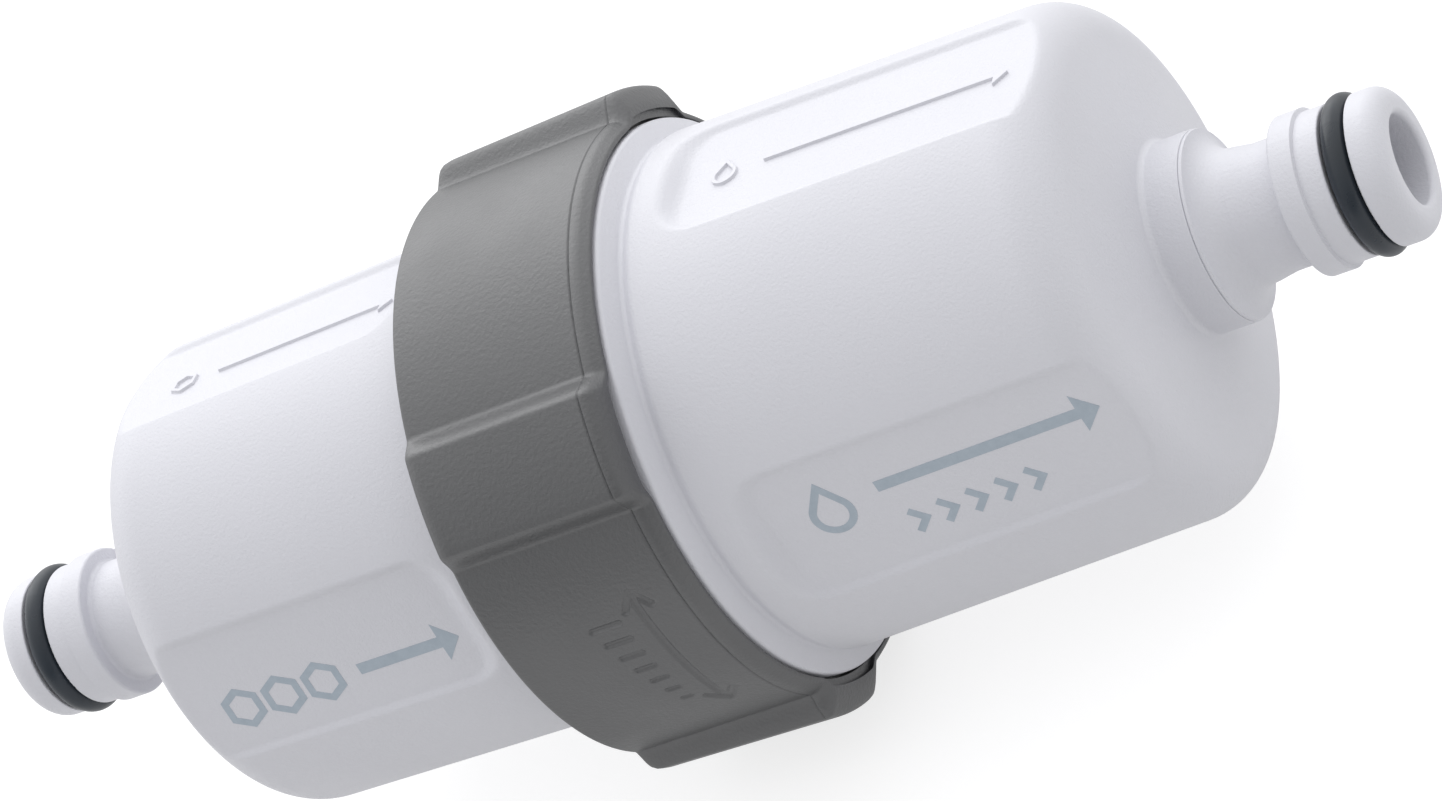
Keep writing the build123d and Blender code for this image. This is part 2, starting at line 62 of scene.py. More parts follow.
def new_material(name, color, roughness, **shader_values):
    """A Principled material, with its node tree and its shader. Socket names take underscores."""
    material = bpy.data.materials.new(name)
    material.use_nodes = True
    shader = material.node_tree.nodes["Principled BSDF"]
    shader.inputs["Base Color"].default_value = (*color, 1)
    shader.inputs["Roughness"].default_value = roughness
    for socket, value in shader_values.items():
        shader.inputs[socket.replace("_", " ")].default_value = value
    return material, material.node_tree, shader


def add_node(tree, kind, **values):
    """A node with its input sockets and properties set by name."""
    node = tree.nodes.new(kind)
    for key, value in values.items():
        label = key.replace("_", " ")
        if label in node.inputs:
            node.inputs[label].default_value = value
        else:
            setattr(node, key, value)
    return node


def object_noise(tree, scale, detail=2.0, roughness=0.5):
    """Noise in the part's own space, so it doesn't slide as bodies move."""
    coordinates = add_node(tree, "ShaderNodeTexCoord")
    noise = add_node(tree, "ShaderNodeTexNoise", Scale=scale, Detail=detail, Roughness=roughness)
    tree.links.new(coordinates.outputs["Object"], noise.inputs["Vector"])
    return noise.outputs["Fac"]


def ramp(tree, factor, low, high):
    """Map a noise's middle range to a pair of values or colours."""
    node = tree.nodes.new("ShaderNodeValToRGB")
    as_color = [c if isinstance(c, tuple) else (c, c, c) for c in (low, high)]
    node.color_ramp.elements[0].position = 0.3
    node.color_ramp.elements[1].position = 0.7
    node.color_ramp.elements[0].color = (*as_color[0], 1)
    node.color_ramp.elements[1].color = (*as_color[1], 1)
    tree.links.new(factor, node.inputs["Fac"])
    return node.outputs["Color"]


def bump(tree, shader, layers):
    """Stack height layers, each (height socket, strength, distance in metres)."""
    last = None
    for height, strength, distance in layers:
        node = add_node(tree, "ShaderNodeBump", Strength=strength, Distance=distance)
        tree.links.new(height, node.inputs["Height"])
        if last is not None:
            tree.links.new(last, node.inputs["Normal"])
        last = node.outputs["Normal"]
    tree.links.new(last, shader.inputs["Normal"])


def moulded_plastic(name, dark, light, gloss, dull, grain_scale, grain_depth, **shader_values):
    """Injection-moulded plastic: spark-eroded grain, faint flow marks and uneven gloss."""
    material, tree, shader = new_material(name, light, dull, **shader_values)
    flow = object_noise(tree, 22, 3, 0.55)
    tree.links.new(ramp(tree, flow, dark, light), shader.inputs["Base Color"])
    cloud = object_noise(tree, 70, 4, 0.6)
    tree.links.new(ramp(tree, cloud, gloss, dull), shader.inputs["Roughness"])
    grain = object_noise(tree, grain_scale, 3, 0.6)
    waves = object_noise(tree, 160, 2, 0.5)
    bump(tree, shader, [(waves, 0.10, 0.00006), (grain, 1.0, grain_depth)])
    return material


def rubber(name):
    """Smooth moulded rubber with a trace of grease."""
    material, tree, shader = new_material(name, (0.015, 0.021, 0.03), 0.32)
    film = object_noise(tree, 260, 3, 0.6)
    tree.links.new(ramp(tree, film, 0.24, 0.42), shader.inputs["Roughness"])
    tone = object_noise(tree, 90, 2, 0.5)
    tree.links.new(
        ramp(tree, tone, (0.011, 0.016, 0.022), (0.018, 0.026, 0.037)),
        shader.inputs["Base Color"],
    )
    bump(tree, shader, [(object_noise(tree, 1900, 2, 0.5), 0.5, 0.00001)])
    return material


def print_ink(name, dark, light):
    """Pad-printed ink: thin, slightly uneven and a little glossier than its ground."""
    material, tree, shader = new_material(name, light, 0.4)
    wear = object_noise(tree, 900, 4, 0.7)
    tree.links.new(ramp(tree, wear, dark, light), shader.inputs["Base Color"])
    bump(tree, shader, [(object_noise(tree, 2600, 3, 0.6), 0.6, 0.00001)])
    return material


def granules(name):
    """Pressed activated-carbon granules."""
    material, tree, shader = new_material(name, (0.012, 0.012, 0.013), 0.85)
    coordinates = add_node(tree, "ShaderNodeTexCoord")
    cells = add_node(tree, "ShaderNodeTexVoronoi", Scale=1500.0)
    tree.links.new(coordinates.outputs["Object"], cells.inputs["Vector"])
    tree.links.new(
        ramp(tree, cells.outputs["Distance"], (0.03, 0.03, 0.032), (0.006, 0.006, 0.007)),
        shader.inputs["Base Color"],
    )
    bump(tree, shader, [(cells.outputs["Distance"], 1.0, 0.0003)])
    return material


def fibrous(name, dark, light, roughness):
    """Soft fibres matted together."""
    material, tree, shader = new_material(name, light, roughness)
    coordinates = add_node(tree, "ShaderNodeTexCoord")
    stretch = add_node(tree, "ShaderNodeMapping", Scale=(300.0, 1500.0, 1500.0))
    strands = add_node(tree, "ShaderNodeTexNoise", Scale=1.0, Detail=4.0, Distortion=1.5)
    tree.links.new(coordinates.outputs["Object"], stretch.inputs["Vector"])
    tree.links.new(stretch.outputs["Vector"], strands.inputs["Vector"])
    tree.links.new(ramp(tree, strands.outputs["Fac"], dark, light), shader.inputs["Base Color"])
    bump(tree, shader, [(strands.outputs["Fac"], 0.8, 0.0002)])
    return material


def cast_resin(name):
    """Milky amber potting resin with clouding."""
    material, tree, shader = new_material(name, (0.55, 0.44, 0.24), 0.3)
    cloud = object_noise(tree, 140, 4, 0.6)
    tree.links.new(
        ramp(tree, cloud, (0.46, 0.35, 0.18), (0.62, 0.52, 0.31)), shader.inputs["Base Color"]
    )
    bump(tree, shader, [(object_noise(tree, 1200, 3, 0.6), 0.4, 0.00003)])
    return material


WHITE = moulded_plastic(
    "white_plastic",
    dark=(0.655, 0.655, 0.695),
    light=(0.685, 0.685, 0.725),
    gloss=0.38,
    dull=0.47,
    grain_scale=3000,
    grain_depth=0.00006,
)
GREY = moulded_plastic(
    "grey_plastic",
    dark=(0.036, 0.037, 0.039),
    light=(0.044, 0.045, 0.047),
    gloss=0.38,
    dull=0.48,
    grain_scale=2300,
    grain_depth=0.00008,
    IOR=1.7,
    Specular_IOR_Level=0.9,
)
INNER = moulded_plastic(
    "inner_plastic",
    dark=(0.50, 0.53, 0.56),
    light=(0.56, 0.59, 0.62),
    gloss=0.3,
    dull=0.42,
    grain_scale=1500,
    grain_depth=0.00001,
)
RUBBER = rubber("black_rubber")
INK = print_ink("grey_blue_ink", (0.37, 0.43, 0.49), (0.42, 0.48, 0.54))
CARBON = granules("activated_carbon")
FLEECE = fibrous("fleece", (0.55, 0.55, 0.53), (0.75, 0.75, 0.73), 0.9)
FIBRE = fibrous("membrane_fibre", (0.62, 0.60, 0.54), (0.78, 0.76, 0.70), 0.6)
RESIN = cast_resin("potting_resin")


# ---------------------------------------------------------------- turned shapes with relief

SAME_ROW = 1e-4

def rounded_run(corners, steps=6):
    """Points in mm along an outline of (x, radius) or (x, radius, rounding) corners."""
    run = []
    for index, corner in enumerate(corners):
        here = np.array(corner[:2], float)
        rounding = corner[2] if len(corner) == 3 else 0
        if rounding == 0 or index in (0, len(corners) - 1):
            run.append(here)
            continue
        back = np.array(corners[index - 1][:2], float) - here
        ahead = np.array(corners[index + 1][:2], float) - here
        back, ahead = back / np.linalg.norm(back), ahead / np.linalg.norm(ahead)
        half_turn = math.acos(np.clip(back @ ahead, -1, 1)) / 2
        reach = rounding / math.tan(half_turn)
        middle = (back + ahead) / np.linalg.norm(back + ahead)
        centre = here + middle * rounding / math.sin(half_turn)
        first, last = here + back * reach - centre, here + ahead * reach - centre
        sweep = math.atan2(first[0] * last[1] - first[1] * last[0], first @ last)
        for step in range(steps + 1):
            angle = sweep * step / steps
            along, across = math.cos(angle), math.sin(angle)
            run.append(centre + np.array([[along, -across], [across, along]]) @ first)
    return run


def subdivide(run, spacing):
    """The same line with no two points further apart than the spacing."""
    dense = [run[0]]
    for point in run[1:]:
        count = max(1, math.ceil(np.linalg.norm(point - dense[-1]) / spacing))
        start = dense[-1]
        dense += [start + (point - start) * k / count for k in range(1, count + 1)]
    return dense


def turned_mesh(name, sections, angles):
    """A closed ring surface. Each section is (run of points, relief function or None)."""
    rows = []
    for run, relief in sections:
        run = np.array(run)
        x = np.repeat(run[:, :1], len(angles), axis=1)
        r = np.repeat(run[:, 1:], len(angles), axis=1)
        if relief is not None:
            r = relief(x, r, angles[None, :])
        rows.append(np.stack([x, r * np.cos(angles), r * np.sin(angles)], axis=2))
    grid = np.concatenate(rows)
    keep = [0]
    for row in range(1, len(grid)):
        if np.abs(grid[row] - grid[keep[-1]]).max() > SAME_ROW:
            keep.append(row)
    if np.abs(grid[keep[-1]] - grid[0]).max() <= SAME_ROW:
        keep.pop()
    grid = grid[keep]
    row_count, column_count = grid.shape[:2]
    row, column = np.meshgrid(np.arange(row_count), np.arange(column_count), indexing="ij")
    below, beside = (row + 1) % row_count, (column + 1) % column_count
    faces = np.stack(
        [
            row * column_count + column,
            below * column_count + column,
            below * column_count + beside,
            row * column_count + beside,
        ],
        axis=2,
    ).reshape(-1, 4)
    return finished_object(name, grid.reshape(-1, 3) * MM, faces)


def finished_object(name, points, faces, sharp_angle=38):
    """Link a mesh, face it outwards and smooth it below the sharp angle."""
    mesh = bpy.data.meshes.new(name)
    mesh.from_pydata([tuple(p) for p in points], [], [tuple(int(i) for i in f) for f in faces])
    work = bmesh.new()
    work.from_mesh(mesh)
    bmesh.ops.recalc_face_normals(work, faces=work.faces)
    work.to_mesh(mesh)
    work.free()
    mesh.polygons.foreach_set("use_smooth", [True] * len(mesh.polygons))
    mesh.set_sharp_from_angle(angle=math.radians(sharp_angle))
    made = bpy.data.objects.new(name, mesh)
    bpy.context.scene.collection.objects.link(made)
    return made


def place(piece, body, slot, material, *replaced):
    """Give a piece its material and body, and hide the CAD nodes that it stands for. The slot is
    not used.
    """
    piece.data.materials.clear()
    piece.data.materials.append(material)
    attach(piece, body)
    if replaced:
        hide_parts(*replaced)
    return piece


def smooth(t):
    """Ease from 0 to 1."""
    t = np.clip(t, 0, 1)
    return t * t * (3 - 2 * t)


def soft_lower(a, b, softness):
    """The lower of two surfaces, blended where they meet."""
    mix = np.clip(0.5 + 0.5 * (b - a) / softness, 0, 1)
    return b * (1 - mix) + a * mix - softness * mix * (1 - mix)


def angle_from(angles, centre):
    """Signed angle from a centre, within half a turn."""
    return (angles - centre + math.pi) % (2 * math.pi) - math.pi


def even_and_fine(fine_zones, coarse_step, fine_step):
    """Angles round the axis, closer together inside the zones (centre, half width) in degrees."""
    angle, found = 0.0, []
    while angle < 360 - 1e-6:
        found.append(math.radians(angle))
        near = min((abs((angle - c + 180) % 360 - 180) - w for c, w in fine_zones), default=1)
        angle += fine_step if near < 0 else coarse_step
    return np.array(found)


# ---------------------------------------------------------------- shared sizes in mm

NUT_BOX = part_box("union_nut")
NUT_X = (NUT_BOX[0][0] / MM, NUT_BOX[1][0] / MM)
VALLEY_R = NUT_BOX[1][2] / MM - 0.01

# Housing ends, the same on both
BOSS_R, BOSS_START_X, BOSS_END_X = 9.9, 58.2, 62.3
BOSS_FILLET, BOSS_RIM_ROUNDING = 0.7, 0.12
SHOULDER_X, SHOULDER_ROUNDING = 55.75, 5.8
SOCKET_R, SOCKET_X, PORT_R = 7.6, 57.0, 4.2
CAVITY_ROUNDING = 3

# Walls, each with its outer radius at the nut and at the shoulder, and the pads pressed into them
OUTLET_WALL_R, INLET_WALL_R = (27.65, 26.55), (26.25, 25.35)
WALL_START_X = 8.5
PAD_HALF_ANGLE, PAD_EDGE_DEPTH = 18.0, 0.35
PAD_CORNER_R, PAD_END_COVE = 4.6, 2.2
PAD_SIDE_COVE = (1.1, 0.8)
PAD_RIM_SOFTNESS = 0.15
OUTLET_PAD_START, INLET_PAD_START = 13.9, 18.0
OUTLET_PAD_CLOCK, INLET_PAD_CLOCK = -11.3, -18.3

# Outlet housing's skirt, stop ring and cavity
SKIRT_RIM_X, SKIRT_BORE_R, SKIRT_STEP_X = -7.8, 25.05, 5.6
SKIRT_CORE_R = 27.8
STOP_RING_X, STOP_RING_R, STOP_GROOVE_R = 6.9, 29.55, 27.0
OUTLET_CAVITY_R, OUTLET_CAVITY_END_X = 23.2, 52
NECK_SEAT_R, NECK_SEAT_FLOOR = 6.8, 0.8

# Inlet housing's spigot, flange and cavity
SPIGOT_R, SPIGOT_END_X = 24.5, 3.9
SEAL_GROOVE_R, SEAL_GROOVE_X = 22.9, (-2.6, -0.3)
FLANGE_R, FLANGE_X = 27.9, (-11.95, -8.0)
INLET_CAVITY_R, INLET_CAVITY_END_X = 21.6, -52.5
STRAINER_POCKET_R, STRAINER_POCKET_X = 7.0, -55
INLET_WALL_START_X = -14

# Thread, and the turned rows that carry it
THREAD_LEAD, THREAD_DEPTH, THREAD_BASE, THREAD_CREST = 4.0, 1.1, 2.4, 1.3
THREAD_X, THREAD_FADE = (-6.7, 2.9), 0.5
THREAD_ROW_SPACING, THREAD_ROWS_END_X = 0.14, 3.4
SKIRT_THREAD_START_X, NUT_THREAD_START_X = -7.1, -7.6

# How finely the outlines are drawn
RING_ARC_STEPS, WALL_ARC_STEPS = 10, 16
WALL_SPACING, FACE_SPACING = 0.6, 0.5

# Union nut
NUT_ROOT_R, NUT_THREAD_END_X = 29.3, -8.1
NUT_LIP_R, NUT_LIP_X = 26.6, -12.05
NUT_MOUTH_R, NUT_MOUTH_X, NUT_MOUTH_CHAMFER = 29.86, 6.4, 0.5
NUT_FRONT_R, NUT_FRONT_X = 30.3, 7.3
LOBE_R = (33.15, 33.68)
LOBE_TOP, LOBE_FOOT = 8.7, 13.2
LOBE_BACK_LENGTH, LOBE_FRONT_START_X, LOBE_FRONT_POWER = 1.5, 6.3, 2.2
RIM_LINE_X, RIM_LINE_DEPTH, RIM_LINE_WIDTH = 6.4, 0.13, 0.09
FACE_START_R = 28.4


def pad_centres(clock):
    """The four pads' angles in degrees, from +Y towards +Z."""
    return [90 + clock + 90 * number for number in range(4)]


def pad_floor(wall_r, along):
    """A pad floor's height above the axis; along is the distance from the filter's middle."""
    share = (along - WALL_START_X) / (SHOULDER_X - WALL_START_X)
    wall = wall_r[0] + (wall_r[1] - wall_r[0]) * share
    return wall * math.cos(math.radians(PAD_HALF_ANGLE)) - PAD_EDGE_DEPTH


def pads_relief(wall_r, clock, start):
    """Relief that presses four flat pads into a wall, with round corners and a coved end."""

    def relief(x, r, angles):
        along = np.abs(x)
        floor = pad_floor(wall_r, along)
        for centre in pad_centres(clock):
            away = angle_from(angles, math.radians(centre))
            side = (math.radians(PAD_HALF_ANGLE) - np.abs(away)) * wall_r[0]
            end_gap = np.maximum(PAD_CORNER_R - (along - start), 0)
            side_gap = np.maximum(PAD_CORNER_R - side, 0)
            gap = np.hypot(end_gap, side_gap)
            side_cove = np.where(away < 0, PAD_SIDE_COVE[0], PAD_SIDE_COVE[1])
            share = (end_gap / np.maximum(gap, 1e-6)) ** 2
            cove = PAD_END_COVE * share + side_cove * (1 - share)
            flat = floor / np.cos(np.clip(away, -1, 1))
            drop_to_floor = soft_lower(flat, r, PAD_RIM_SOFTNESS) - r
            sunk = r + drop_to_floor * smooth((PAD_CORNER_R - gap) / cove)
            r = np.where(gap < PAD_CORNER_R, sunk, r)
        return r

    return relief


def thread_relief(root_r, depth, shift):
    """Relief of one helical trapezoidal ridge; a negative depth points inwards."""

    def relief(x, r, angles):
        first, last = THREAD_X[0] + THREAD_BASE / 2, THREAD_X[1] - THREAD_BASE / 2
        turns = angles / (2 * math.pi)
        count = np.round((x - first - shift) / THREAD_LEAD - turns)
        centre = first + shift + THREAD_LEAD * (turns + count)
        flank = (THREAD_BASE - THREAD_CREST) / 2
        rise = np.clip((THREAD_BASE / 2 - np.abs(x - centre)) / flank, 0, 1)
        run_in = smooth((centre - first - shift) / THREAD_FADE)
        fade = run_in * smooth((last + shift - centre) / THREAD_FADE)
        return root_r + depth * rise * fade

    return relief


def pad_angles(clock):
    """Angles round a housing, closer together where the pads' long edges run."""
    edges = [(c + s * (PAD_HALF_ANGLE - 1.5), 3.2) for c in pad_centres(clock) for s in (-1, 1)]
    return even_and_fine(edges, 1.2, 0.3)


# ---------------------------------------------------------------- generic markings

MARK_SINK, MARK_SHARP_ANGLE = 0.1, 30

def arc_points(centre, radius, start, sweep, count=20):
    """Points on an arc in a mark's plane, angles in degrees."""
    turns = [math.radians(start + sweep * step / count) for step in range(count + 1)]
    return [(centre[0] + radius * math.cos(t), centre[1] + radius * math.sin(t)) for t in turns]


def arrow(tail, tip, width, head):
    """A straight arrow along the flow, as one stroke that widens at its head."""
    back = tip - head
    path = [tail, (back, tail[1]), (back + 0.02, tail[1]), (tip, tail[1])]
    return [(path, (width, width, 2 * head, 0.04))]


def chevrons(first_x, centre_v, count, pitch, size, width):
    """A row of flow chevrons pointing to the outlet."""
    strokes = []
    for number in range(count):
        x = first_x + pitch * number
        back, tip = x - size / 2, x + size / 2
        points = [(back, centre_v - size), (tip, centre_v), (back, centre_v + size)]
        strokes.append((points, width))
    return strokes


def drop(centre, size, width):
    """A water drop standing across the flow."""
    tip = (centre[0], centre[1] - 1.75 * size)
    belly = arc_points(centre, size, -40, 260, 26)
    return [([tip] + belly + [tip], width)]


def hexagon(centre, size, width):
    """An open hexagon, with a corner pointing across the flow."""
    return [(arc_points(centre, size, 30, 360, 6), width)]


def offset_sides(points, width):
    """The two sides of a stroke along a polyline, mitred at its corners; the width may vary."""
    line = np.array(points, float)
    closed = np.allclose(line[0], line[-1])
    steps = np.diff(line, axis=0)
    steps /= np.linalg.norm(steps, axis=1)[:, None]
    before = np.vstack([steps[-1:] if closed else steps[:1], steps])
    after = np.vstack([steps, steps[:1] if closed else steps[-1:]])
    along = before + after
    along /= np.maximum(np.linalg.norm(along, axis=1)[:, None], 1e-6)
    normal = np.stack([-along[:, 1], along[:, 0]], axis=1)
    stretch = 1 / np.maximum((along * after).sum(axis=1), 0.45)
    reach = normal * (np.asarray(width) / 2 * stretch)[:, None]
    return line + reach, line - reach


def pad_mark(name, strokes, clock, wall_r, height, bevel, material):
    """Raised or printed strokes on one pad's flat floor. A stroke is (points as (x, v), width)."""
    turn = math.radians(90 + clock)
    outward = np.array([math.cos(turn), math.sin(turn)])
    sideways = np.array([-math.sin(turn), math.cos(turn)])
    points, faces = [], []
    for path, width in strokes:
        left, right = offset_sides(path, width)
        left_top, right_top = offset_sides(path, np.maximum(np.asarray(width) - 2 * bevel, 0.02))
        first = len(points)
        rows = len(left)
        for row in range(rows):
            for (x, v), rise in (
                (left[row], -MARK_SINK),
                (left_top[row], height),
                (right_top[row], height),
                (right[row], -MARK_SINK),
            ):
                level = pad_floor(wall_r, abs(x)) + rise
                points.append([x, *(outward * level + sideways * v)])
        for row in range(rows - 1):
            for column in range(4):
                beside = (column + 1) % 4
                here = first + row * 4
                faces.append([here + column, here + 4 + column, here + 4 + beside, here + beside])
        faces.append([first, first + 1, first + 2, first + 3])
        last = first + (rows - 1) * 4
        faces.append([last + 3, last + 2, last + 1, last])
    mark = finished_object(name, np.array(points) * MM, faces, MARK_SHARP_ANGLE)
    mark.data.materials.append(material)
    return mark


def engraved(x, angles, centre_angle, strokes, radius, depth, edge):
    """Depth in mm of strokes cut into a round surface, centred on an angle in radians."""
    v = angle_from(angles, centre_angle) * radius
    nearest = np.full(np.broadcast(x, v).shape, np.inf)
    for path, width in strokes:
        for (x0, v0), (x1, v1) in zip(path[:-1], path[1:]):
            run = (x1 - x0) ** 2 + (v1 - v0) ** 2
            t = np.clip(((x - x0) * (x1 - x0) + (v - v0) * (v1 - v0)) / run, 0, 1)
            gap = np.hypot(x - x0 - t * (x1 - x0), v - v0 - t * (v1 - v0)) - width / 2
            nearest = np.minimum(nearest, gap)
    return depth * smooth(0.5 - nearest / edge)


# ---------------------------------------------------------------- hollow fibres

FIBRE_R, FIBRE_PITCH, FIBRE_SIDES = 0.75, 1.9, 8
FIBRE_BUNDLE_R, FIBRE_X = 20.35, (10.5, 36.0)
BEND_R, BEND_STEPS = FIBRE_PITCH / 2, 8
BEND_UNEVENNESS, FIBRE_SHARP_ANGLE = 0.9, 60


def fibre_path(top_x):
    """One loop's centre line in its plane, as (x, across, outward x, outward across)."""
    path = [(FIBRE_X[1], -BEND_R, 0, -1)]
    for step in range(BEND_STEPS + 1):
        angle = math.pi * step / BEND_STEPS
        lean, face = math.sin(angle), math.cos(angle)
        path.append((top_x + BEND_R * (1 - lean), -BEND_R * face, -lean, -face))
    return path + [(FIBRE_X[1], BEND_R, 0, 1)]


def fibre_loops():
    """The membrane's hollow fibres: close-packed U-shaped loops with their legs in the potting."""
    points, faces = [], []
    ring = [2 * math.pi * side / FIBRE_SIDES for side in range(FIBRE_SIDES)]
    row_step = FIBRE_PITCH * math.sqrt(3) / 2
    row_count = int(FIBRE_BUNDLE_R / row_step)
    pair_count = int(FIBRE_BUNDLE_R / FIBRE_PITCH / 2) + 1
    for row in range(-row_count, row_count + 1):
        z = row * row_step
        for pair in range(-pair_count, pair_count + 1):
            y = (2 * pair + 0.5 * (row % 2)) * FIBRE_PITCH
            if math.hypot(abs(y) + BEND_R, z) + FIBRE_R > FIBRE_BUNDLE_R:
                continue
            unevenness = BEND_UNEVENNESS * (1 + math.sin(row * 2.3 + pair * 1.7))
            first = len(points)
            path = fibre_path(FIBRE_X[0] + FIBRE_R + unevenness)
            for x, across, out_x, out_across in path:
                for turn in ring:
                    out, up = FIBRE_R * math.sin(turn), FIBRE_R * math.cos(turn)
                    points.append((x + out * out_x, y + across + out * out_across, z + up))
            for start in range(first, len(points) - FIBRE_SIDES, FIBRE_SIDES):
                for side in range(FIBRE_SIDES):
                    here, beside = start + side, start + (side + 1) % FIBRE_SIDES
                    faces.append((here, beside, beside + FIBRE_SIDES, here + FIBRE_SIDES))
            faces.append(tuple(range(first, first + FIBRE_SIDES)))
            faces.append(tuple(range(len(points) - 1, len(points) - FIBRE_SIDES - 1, -1)))
    return finished_object("fibre_loops", np.array(points) * MM, faces, FIBRE_SHARP_ANGLE)


# ---------------------------------------------------------------- fleece wrap

FLEECE_X, FLEECE_R = (-44.5, -8.0), (19.2, 19.86)
CRIMP_START_R = 19.5
CRIMP_DEPTH, RIPPLE_DEPTH, SEAM_HEIGHT, SEAM_WIDTH = 0.05, 0.03, 0.05, 1.2


def crimped(x, r, angles):
    """Crimps and one lapped seam on the outside of the fleece."""
    crimps = CRIMP_DEPTH * np.sin(60 * angles + 0.8 * np.sin(0.5 * x))
    ripples = RIPPLE_DEPTH * np.sin(2.4 * x + 7 * angles)
    from_seam = np.abs(angle_from(angles, math.pi / 2)) * FLEECE_R[1]
    seam = SEAM_HEIGHT * smooth(1.5 - from_seam / SEAM_WIDTH)
    return np.where(r > CRIMP_START_R, r + (crimps + ripples) + seam, r)


def fleece_wrap():
    """The thin non-woven sleeve round the carbon block."""
    (start, end), (inner_r, outer_r) = FLEECE_X, FLEECE_R
    corners = [(start, outer_r), (end, outer_r), (end, inner_r), (start, inner_r)]
    outline = corners + corners[:1]
    run = subdivide([np.array(corner) for corner in outline], WALL_SPACING)
    return turned_mesh("fleece_wrap", [(run, crimped)], np.radians(np.arange(0, 360, 1.0)))


# ---------------------------------------------------------------- housings


def shoulder_and_boss(wall_start, end_r, side):
    """The wall from its start to the boss's rim, on the outlet side (+1) or the inlet's (-1)."""
    return [
        wall_start,
        (side * SHOULDER_X, end_r, SHOULDER_ROUNDING),
        (side * BOSS_START_X, BOSS_R, BOSS_FILLET),
        (side * BOSS_END_X, BOSS_R, BOSS_RIM_ROUNDING),
        (side * BOSS_END_X, SOCKET_R),
    ]


def outlet_shell():
    """The larger cup: threaded skirt, stop ring, padded wall, shoulder and boss."""
    skirt = rounded_run(
        [
            (SKIRT_RIM_X, SKIRT_BORE_R),
            (SKIRT_RIM_X, SKIRT_CORE_R, 0.4),
            (SKIRT_THREAD_START_X, SKIRT_CORE_R),
        ]
    )
    thread_ends = [np.array([x, SKIRT_CORE_R]) for x in (SKIRT_THREAD_START_X, THREAD_ROWS_END_X)]
    thread = subdivide(thread_ends, THREAD_ROW_SPACING)
    wall_start = (NUT_X[1] + 4.4, OUTLET_WALL_R[0] - 0.05)
    stop_ring = rounded_run(
        [
            (THREAD_ROWS_END_X, SKIRT_CORE_R),
            (STOP_RING_X, SKIRT_CORE_R, 0.2),
            (STOP_RING_X, STOP_RING_R, 0.3),
            (NUT_X[1] + 0.35, STOP_RING_R, 0.5),
            (NUT_X[1] + 1.5, STOP_GROOVE_R, 0.45),
            (NUT_X[1] + 2.6, OUTLET_WALL_R[0], 1.3),
            wall_start,
        ],
        RING_ARC_STEPS,
    )
    wall = rounded_run(shoulder_and_boss(wall_start, OUTLET_WALL_R[1], 1), WALL_ARC_STEPS)
    inside = rounded_run(
        [
            (BOSS_END_X, SOCKET_R),
            (SOCKET_X, SOCKET_R),
            (SOCKET_X, PORT_R),
            (SOCKET_X - NECK_SEAT_FLOOR, PORT_R),
            (SOCKET_X - NECK_SEAT_FLOOR, NECK_SEAT_R),
            (OUTLET_CAVITY_END_X, NECK_SEAT_R),
            (OUTLET_CAVITY_END_X, OUTLET_CAVITY_R, CAVITY_ROUNDING),
            (SKIRT_STEP_X, OUTLET_CAVITY_R),
            (SKIRT_STEP_X, SKIRT_BORE_R),
            (SKIRT_RIM_X, SKIRT_BORE_R),
        ]
    )
    sections = [
        (skirt, None),
        (thread, thread_relief(SKIRT_CORE_R, THREAD_DEPTH, 0)),
        (stop_ring, None),
        (
            subdivide(wall, WALL_SPACING),
            pads_relief(OUTLET_WALL_R, OUTLET_PAD_CLOCK, OUTLET_PAD_START),
        ),
        (inside, None),
    ]
    return turned_mesh("outlet_shell", sections, pad_angles(OUTLET_PAD_CLOCK))


def inlet_shell():
    """The smaller cup: sealing spigot, flange for the nut's lip, padded wall and boss."""
    wall_start = (INLET_WALL_START_X, INLET_WALL_R[0])
    front = rounded_run(
        [
            (SPIGOT_END_X, INLET_CAVITY_R),
            (SPIGOT_END_X, SPIGOT_R, 0.5),
            (SEAL_GROOVE_X[1], SPIGOT_R, 0.12),
            (SEAL_GROOVE_X[1], SEAL_GROOVE_R, 0.12),
            (SEAL_GROOVE_X[0], SEAL_GROOVE_R, 0.12),
            (SEAL_GROOVE_X[0], SPIGOT_R, 0.12),
            (FLANGE_X[1], SPIGOT_R, 0.2),
            (FLANGE_X[1], FLANGE_R, 0.4),
            (FLANGE_X[0], FLANGE_R, 0.4),
            (FLANGE_X[0], INLET_WALL_R[0], 0.3),
            wall_start,
        ]
    )
    wall = rounded_run(shoulder_and_boss(wall_start, INLET_WALL_R[1], -1), WALL_ARC_STEPS)
    inside = rounded_run(
        [
            (-BOSS_END_X, SOCKET_R),
            (-SOCKET_X, SOCKET_R),
            (-SOCKET_X, PORT_R),
            (STRAINER_POCKET_X, PORT_R),
            (STRAINER_POCKET_X, STRAINER_POCKET_R),
            (INLET_CAVITY_END_X, STRAINER_POCKET_R),
            (INLET_CAVITY_END_X, INLET_CAVITY_R, CAVITY_ROUNDING),
            (SPIGOT_END_X, INLET_CAVITY_R),
        ]
    )
    relief = pads_relief(INLET_WALL_R, INLET_PAD_CLOCK, INLET_PAD_START)
    sections = [(front, None), (subdivide(wall, WALL_SPACING), relief), (inside, None)]
    return turned_mesh("inlet_shell", sections, pad_angles(INLET_PAD_CLOCK))


# ---------------------------------------------------------------- union nut


TURN_MARK_ANGLE = math.pi
TURN_MARK_X = -0.7
TURN_MARK_REACH = 12.0
TURN_MARK_WIDTH, TURN_MARK_DEPTH, TURN_MARK_EDGE = 0.75, 0.22, 0.28
TICK_COUNT, TICK_PITCH, TICK_WIDTH = 7, 2.2, 0.6


